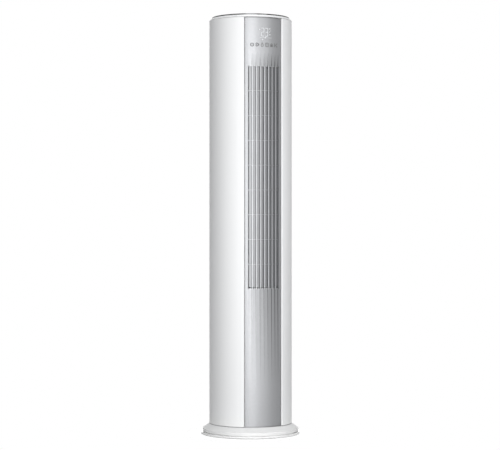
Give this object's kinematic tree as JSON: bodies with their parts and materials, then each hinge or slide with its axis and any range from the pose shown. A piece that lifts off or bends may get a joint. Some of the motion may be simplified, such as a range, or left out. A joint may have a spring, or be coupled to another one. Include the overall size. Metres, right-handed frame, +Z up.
{
  "type": "floor standing air conditioner",
  "caption": "Tall cylindrical floor standing air conditioner with a recessed silver front, fluted panel, swing louvres, stepped round base and rear intake.",
  "frame": {"origin": "on the floor under the cabinet axis", "axes": "+Z up along the cabinet, -Y out of the front panel, +X towards the cabinet's left-hand side as the unit faces out, which is the viewer's right"},
  "size_m": [0.442, 0.442, 1.865],
  "materials": {
    "white_shell": "satin white moulded shell",
    "white_base": "satin white moulded base",
    "silver_panel": "silver metallic paint, satin",
    "silver_louvre": "silver metallic paint, satin",
    "bright_trim": "polished chrome",
    "foot_rubber": "matte black",
    "sheet_steel": "galvanised sheet",
    "duct_plastic": "dark grey foam-faced plastic",
    "vane_plastic": "dark grey moulded",
    "fan_plastic": "black glass-filled plastic",
    "motor_case": "dark grey enamel",
    "coil_fin": "mill finish fins",
    "copper_tube": "drawn copper",
    "nut_brass": "machined brass",
    "filter_weave": "dark grey frame and fine net",
    "circuit_board": "green solder mask",
    "box_steel": "light grey enamel",
    "gland_plastic": "white nylon",
    "grommet_rubber": "pale grey",
    "terminal_plastic": "black phenolic"
  },
  "bodies": {
    "cabinet": {"base_plinth": "white_base", "rubber_feet": "foot_rubber", "chassis_plate": "sheet_steel", "shell_left": "white_shell", "shell_right": "white_shell", "rear_panel": "white_shell", "rear_service_cover": "white_shell", "pipe_grommet": "grommet_rubber", "power_gland": "gland_plastic", "cover_screws": "sheet_steel", "top_cover": "white_shell", "top_ring": "bright_trim", "front_panel": "silver_panel", "outlet_grille": "silver_panel", "top_plate": "sheet_steel", "frame_posts": "sheet_steel", "bulkhead_lower": "sheet_steel", "bulkhead_upper": "sheet_steel", "duct_left": "duct_plastic", "duct_right": "duct_plastic", "drain_pan": "duct_plastic", "evaporator_core": "coil_fin", "tube_sheets": "sheet_steel", "evaporator_bends": "copper_tube", "gas_pipe": "copper_tube", "liquid_pipe": "copper_tube", "flare_nuts": "nut_brass", "pipe_bracket": "sheet_steel", "fan_motor": "motor_case", "fan_bearing": "sheet_steel", "louvre_motor": "gland_plastic", "vane_motor": "gland_plastic", "intake_filter": "filter_weave", "display_board": "circuit_board", "touch_board": "circuit_board", "control_box": "box_steel", "control_box_lid": "box_steel", "main_board": "circuit_board", "terminal_block": "terminal_plastic"},
    "louvre_1": {"louvre_1": "silver_louvre"},
    "louvre_2": {"louvre_2": "silver_louvre"},
    "louvre_3": {"louvre_3": "silver_louvre"},
    "louvre_4": {"louvre_4": "silver_louvre"},
    "louvre_5": {"louvre_5": "silver_louvre"},
    "louvre_6": {"louvre_6": "silver_louvre"},
    "louvre_7": {"louvre_7": "silver_louvre"},
    "louvre_8": {"louvre_8": "silver_louvre"},
    "vane_1": {"vane_1": "vane_plastic"},
    "vane_2": {"vane_2": "vane_plastic"},
    "vane_3": {"vane_3": "vane_plastic"},
    "vane_4": {"vane_4": "vane_plastic"},
    "vane_5": {"vane_5": "vane_plastic"},
    "vane_6": {"vane_6": "vane_plastic"},
    "vane_7": {"vane_7": "vane_plastic"},
    "vane_8": {"vane_8": "vane_plastic"},
    "louvre_link": {"louvre_link": "vane_plastic"},
    "louvre_crank": {"louvre_crank": "gland_plastic"},
    "vane_link": {"vane_link": "vane_plastic"},
    "cross_flow_fan": {"cross_flow_fan": "fan_plastic"}
  },
  "joints": [
    {"name": "louvre_1_swing", "type": "hinge", "parent": "cabinet", "child": "louvre_1", "pos_m": [-0.06026, -0.15843, 1.1445], "axis": [0, 0, 1], "range_deg": [-14, 76]},
    {"name": "louvre_2_swing", "type": "hinge", "parent": "cabinet", "child": "louvre_2", "pos_m": [-0.04351, -0.16382, 1.1445], "axis": [0, 0, 1], "range_deg": [-14, 76]},
    {"name": "louvre_3_swing", "type": "hinge", "parent": "cabinet", "child": "louvre_3", "pos_m": [-0.0263, -0.16745, 1.1445], "axis": [0, 0, 1], "range_deg": [-14, 76]},
    {"name": "louvre_4_swing", "type": "hinge", "parent": "cabinet", "child": "louvre_4", "pos_m": [-0.0088, -0.16927, 1.1445], "axis": [0, 0, 1], "range_deg": [-14, 76]},
    {"name": "louvre_5_swing", "type": "hinge", "parent": "cabinet", "child": "louvre_5", "pos_m": [0.0088, -0.16927, 1.1445], "axis": [0, 0, 1], "range_deg": [-14, 76]},
    {"name": "louvre_6_swing", "type": "hinge", "parent": "cabinet", "child": "louvre_6", "pos_m": [0.0263, -0.16745, 1.1445], "axis": [0, 0, 1], "range_deg": [-14, 76]},
    {"name": "louvre_7_swing", "type": "hinge", "parent": "cabinet", "child": "louvre_7", "pos_m": [0.04351, -0.16382, 1.1445], "axis": [0, 0, 1], "range_deg": [-14, 76]},
    {"name": "louvre_8_swing", "type": "hinge", "parent": "cabinet", "child": "louvre_8", "pos_m": [0.06026, -0.15843, 1.1445], "axis": [0, 0, 1], "range_deg": [-14, 76]},
    {"name": "louvre_link_pivot", "type": "hinge", "parent": "louvre_1", "child": "louvre_link", "pos_m": [-0.05707, -0.15311, 0.6613], "axis": [0, 0, 1], "range_deg": [-76, 14]},
    {"name": "louvre_crank_turn", "type": "hinge", "parent": "cabinet", "child": "louvre_crank", "pos_m": [0, -0.1495, 0.65], "axis": [0, 0, 1], "range_deg": [-14, 76]},
    {"name": "vane_1_tilt", "type": "hinge", "parent": "cabinet", "child": "vane_1", "pos_m": [0, -0.112, 0.763], "axis": [1, 0, 0], "range_deg": [-30, 30]},
    {"name": "vane_2_tilt", "type": "hinge", "parent": "cabinet", "child": "vane_2", "pos_m": [0, -0.112, 0.872], "axis": [1, 0, 0], "range_deg": [-30, 30]},
    {"name": "vane_3_tilt", "type": "hinge", "parent": "cabinet", "child": "vane_3", "pos_m": [0, -0.112, 0.981], "axis": [1, 0, 0], "range_deg": [-30, 30]},
    {"name": "vane_4_tilt", "type": "hinge", "parent": "cabinet", "child": "vane_4", "pos_m": [0, -0.112, 1.09], "axis": [1, 0, 0], "range_deg": [-30, 30]},
    {"name": "vane_5_tilt", "type": "hinge", "parent": "cabinet", "child": "vane_5", "pos_m": [0, -0.112, 1.199], "axis": [1, 0, 0], "range_deg": [-30, 30]},
    {"name": "vane_6_tilt", "type": "hinge", "parent": "cabinet", "child": "vane_6", "pos_m": [0, -0.112, 1.308], "axis": [1, 0, 0], "range_deg": [-30, 30]},
    {"name": "vane_7_tilt", "type": "hinge", "parent": "cabinet", "child": "vane_7", "pos_m": [0, -0.112, 1.417], "axis": [1, 0, 0], "range_deg": [-30, 30]},
    {"name": "vane_8_tilt", "type": "hinge", "parent": "cabinet", "child": "vane_8", "pos_m": [0, -0.112, 1.526], "axis": [1, 0, 0], "range_deg": [-30, 30]},
    {"name": "vane_link_pivot", "type": "hinge", "parent": "vane_1", "child": "vane_link", "pos_m": [0.062, -0.092, 0.763], "axis": [1, 0, 0], "range_deg": [-30, 30]},
    {"name": "fan_spin", "type": "hinge", "parent": "cabinet", "child": "cross_flow_fan", "pos_m": [0, -0.025, 1.1], "axis": [0, 0, 1], "continuous": true}
  ],
  "couplings": [
    {"joint": "louvre_2_swing", "follows": "louvre_1_swing", "ratio": 1},
    {"joint": "louvre_3_swing", "follows": "louvre_1_swing", "ratio": 1},
    {"joint": "louvre_4_swing", "follows": "louvre_1_swing", "ratio": 1},
    {"joint": "louvre_5_swing", "follows": "louvre_1_swing", "ratio": 1},
    {"joint": "louvre_6_swing", "follows": "louvre_1_swing", "ratio": 1},
    {"joint": "louvre_7_swing", "follows": "louvre_1_swing", "ratio": 1},
    {"joint": "louvre_8_swing", "follows": "louvre_1_swing", "ratio": 1},
    {"joint": "louvre_link_pivot", "follows": "louvre_1_swing", "ratio": -1},
    {"joint": "louvre_crank_turn", "follows": "louvre_1_swing", "ratio": 1},
    {"joint": "vane_2_tilt", "follows": "vane_1_tilt", "ratio": 1},
    {"joint": "vane_3_tilt", "follows": "vane_1_tilt", "ratio": 1},
    {"joint": "vane_4_tilt", "follows": "vane_1_tilt", "ratio": 1},
    {"joint": "vane_5_tilt", "follows": "vane_1_tilt", "ratio": 1},
    {"joint": "vane_6_tilt", "follows": "vane_1_tilt", "ratio": 1},
    {"joint": "vane_7_tilt", "follows": "vane_1_tilt", "ratio": 1},
    {"joint": "vane_8_tilt", "follows": "vane_1_tilt", "ratio": 1},
    {"joint": "vane_link_pivot", "follows": "vane_1_tilt", "ratio": -1}
  ]
}
